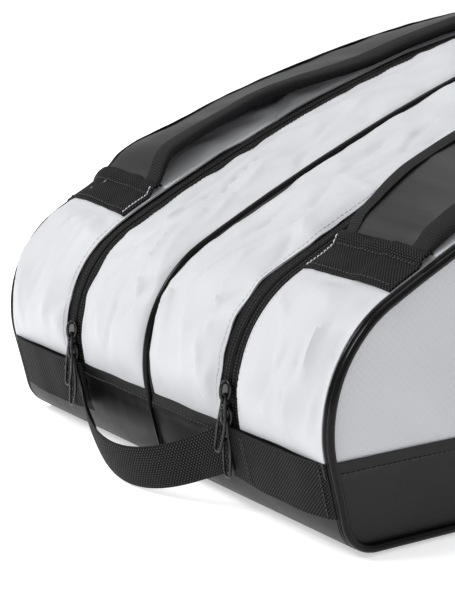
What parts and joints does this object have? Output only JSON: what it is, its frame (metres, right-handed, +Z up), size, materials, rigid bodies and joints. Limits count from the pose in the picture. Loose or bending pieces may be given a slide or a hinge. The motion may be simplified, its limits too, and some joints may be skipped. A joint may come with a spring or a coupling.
{
  "type": "racket tournament bag",
  "caption": "Long two-compartment racket bag with zipped side covers, a black base, a webbing nose handle and padded shoulder straps along the top.",
  "frame": {"origin": "on the floor, under the middle of the bag", "axes": "+X from the narrow nose to the wide head end, +Y to the left, +Z up"},
  "size_m": [0.8008, 0.3702, 0.2904],
  "materials": {
    "white_tarpaulin": "coated polyester, soft gloss",
    "side_fabric": "coated ripstop, matt",
    "black_tarpaulin": "coated polyester, satin",
    "zip_tape": "woven tape",
    "webbing": "ribbed polypropylene webbing",
    "piping": "smooth coated cord",
    "strap_synthetic": "smooth coated synthetic",
    "strap_binding": "ribbed knitted binding",
    "buckle_plastic": "moulded acetal",
    "black_metal": "black painted zinc",
    "lining": "foam-backed lining",
    "stiffener": "polyethylene board"
  },
  "bodies": {
    "root": {"base_panel": "black_tarpaulin", "base_board": "stiffener", "nose_lower_panel": "black_tarpaulin", "tail_lower_panel": "black_tarpaulin", "divider_panel": "lining", "centre_piping": "piping", "right_inner_gusset": "white_tarpaulin", "right_zip_inner_tape": "zip_tape", "right_lower_side": "black_tarpaulin", "right_side_panel_fixed": "side_fabric", "right_nose_outer_gusset": "white_tarpaulin", "right_nose_zip_tape": "zip_tape", "right_tail_outer_gusset": "white_tarpaulin", "right_lower_piping": "piping", "right_nose_band": "webbing", "left_inner_gusset": "white_tarpaulin", "left_zip_inner_tape": "zip_tape", "left_lower_side": "black_tarpaulin", "left_side_panel_fixed": "side_fabric", "left_nose_outer_gusset": "white_tarpaulin", "left_nose_zip_tape": "zip_tape", "left_tail_outer_gusset": "white_tarpaulin", "left_lower_piping": "piping", "left_nose_band": "webbing"},
    "right_cover": {"right_side_panel": "side_fabric", "right_side_foam": "lining", "right_outer_gusset": "white_tarpaulin", "right_zip_outer_tape": "zip_tape", "right_upper_piping": "piping", "right_strap_tab": "webbing", "right_tail_tab": "webbing"},
    "right_strap": {"right_strap_pad": "strap_synthetic", "right_strap_inner_binding": "strap_binding", "right_strap_outer_binding": "strap_binding", "right_strap_buckle": "buckle_plastic"},
    "right_strap_tail": {"right_strap_webbing": "webbing"},
    "right_lower_slider": {"right_lower_slider": "black_metal"},
    "right_lower_puller": {"right_lower_puller": "black_metal"},
    "right_upper_slider": {"right_upper_slider": "black_metal"},
    "right_upper_puller": {"right_upper_puller": "black_metal"},
    "left_cover": {"left_side_panel": "side_fabric", "left_side_foam": "lining", "left_outer_gusset": "white_tarpaulin", "left_zip_outer_tape": "zip_tape", "left_upper_piping": "piping", "left_strap_tab": "webbing", "left_tail_tab": "webbing"},
    "left_strap": {"left_strap_pad": "strap_synthetic", "left_strap_inner_binding": "strap_binding", "left_strap_outer_binding": "strap_binding", "left_strap_buckle": "buckle_plastic"},
    "left_strap_tail": {"left_strap_webbing": "webbing"},
    "left_lower_slider": {"left_lower_slider": "black_metal"},
    "left_lower_puller": {"left_lower_puller": "black_metal"},
    "left_upper_slider": {"left_upper_slider": "black_metal"},
    "left_upper_puller": {"left_upper_puller": "black_metal"},
    "nose_handle": {"nose_handle": "webbing"}
  },
  "joints": [
    {"name": "right_cover_open", "type": "hinge", "parent": "root", "child": "right_cover", "pos_m": [-0.34031, -0.1855, 0.14186], "axis": [0.9969, 0, -0.0786], "range_deg": [0, 45]},
    {"name": "right_strap_lift", "type": "hinge", "parent": "right_cover", "child": "right_strap", "pos_m": [-0.30253, -0.1395, 0.16277], "axis": [0, -1, 0], "range_deg": [0, 5]},
    {"name": "right_strap_tail_follow", "type": "hinge", "parent": "right_cover", "child": "right_strap_tail", "pos_m": [0.26023, -0.1395, 0.2513], "axis": [0, 1, 0], "range_deg": [0, 17.5]},
    {"name": "right_lower_slider_travel", "type": "hinge", "parent": "root", "child": "right_lower_slider", "pos_m": [-0.3034, -0.09, 0.0736], "axis": [0, 1, 0], "range_deg": [0, 12]},
    {"name": "right_upper_slider_travel", "type": "hinge", "parent": "right_lower_slider", "child": "right_upper_slider", "pos_m": [-0.3034, -0.09, 0.0736], "axis": [0, 1, 0], "range_deg": [0, 40]},
    {"name": "right_lower_puller_swing", "type": "hinge", "parent": "right_lower_slider", "child": "right_lower_puller", "pos_m": [-0.3836, -0.09, 0.05942], "axis": [0, 1, 0], "range_deg": [0, 10]},
    {"name": "right_upper_puller_swing", "type": "hinge", "parent": "right_upper_slider", "child": "right_upper_puller", "pos_m": [-0.38484, -0.09, 0.07441], "axis": [0, 1, 0], "range_deg": [0, 140]},
    {"name": "left_cover_open", "type": "hinge", "parent": "root", "child": "left_cover", "pos_m": [-0.34031, 0.1855, 0.14186], "axis": [-0.9969, 0, 0.0786], "range_deg": [0, 45]},
    {"name": "left_strap_lift", "type": "hinge", "parent": "left_cover", "child": "left_strap", "pos_m": [-0.30253, 0.1395, 0.16277], "axis": [0, -1, 0], "range_deg": [0, 5]},
    {"name": "left_strap_tail_follow", "type": "hinge", "parent": "left_cover", "child": "left_strap_tail", "pos_m": [0.26023, 0.1395, 0.2513], "axis": [0, 1, 0], "range_deg": [0, 17.5]},
    {"name": "left_lower_slider_travel", "type": "hinge", "parent": "root", "child": "left_lower_slider", "pos_m": [-0.3034, 0.09, 0.0736], "axis": [0, 1, 0], "range_deg": [0, 12]},
    {"name": "left_upper_slider_travel", "type": "hinge", "parent": "left_lower_slider", "child": "left_upper_slider", "pos_m": [-0.3034, 0.09, 0.0736], "axis": [0, 1, 0], "range_deg": [0, 40]},
    {"name": "left_lower_puller_swing", "type": "hinge", "parent": "left_lower_slider", "child": "left_lower_puller", "pos_m": [-0.3836, 0.09, 0.05942], "axis": [0, 1, 0], "range_deg": [0, 10]},
    {"name": "left_upper_puller_swing", "type": "hinge", "parent": "left_upper_slider", "child": "left_upper_puller", "pos_m": [-0.38484, 0.09, 0.07441], "axis": [0, 1, 0], "range_deg": [0, 140]},
    {"name": "nose_handle_swing", "type": "hinge", "parent": "root", "child": "nose_handle", "pos_m": [-0.37553, 0, 0.0424], "axis": [0, 1, 0], "range_deg": [0, 60]}
  ],
  "couplings": [
    {"joint": "right_strap_tail_follow", "follows": "right_strap_lift", "ratio": 3.387},
    {"joint": "left_strap_tail_follow", "follows": "left_strap_lift", "ratio": 3.387}
  ]
}
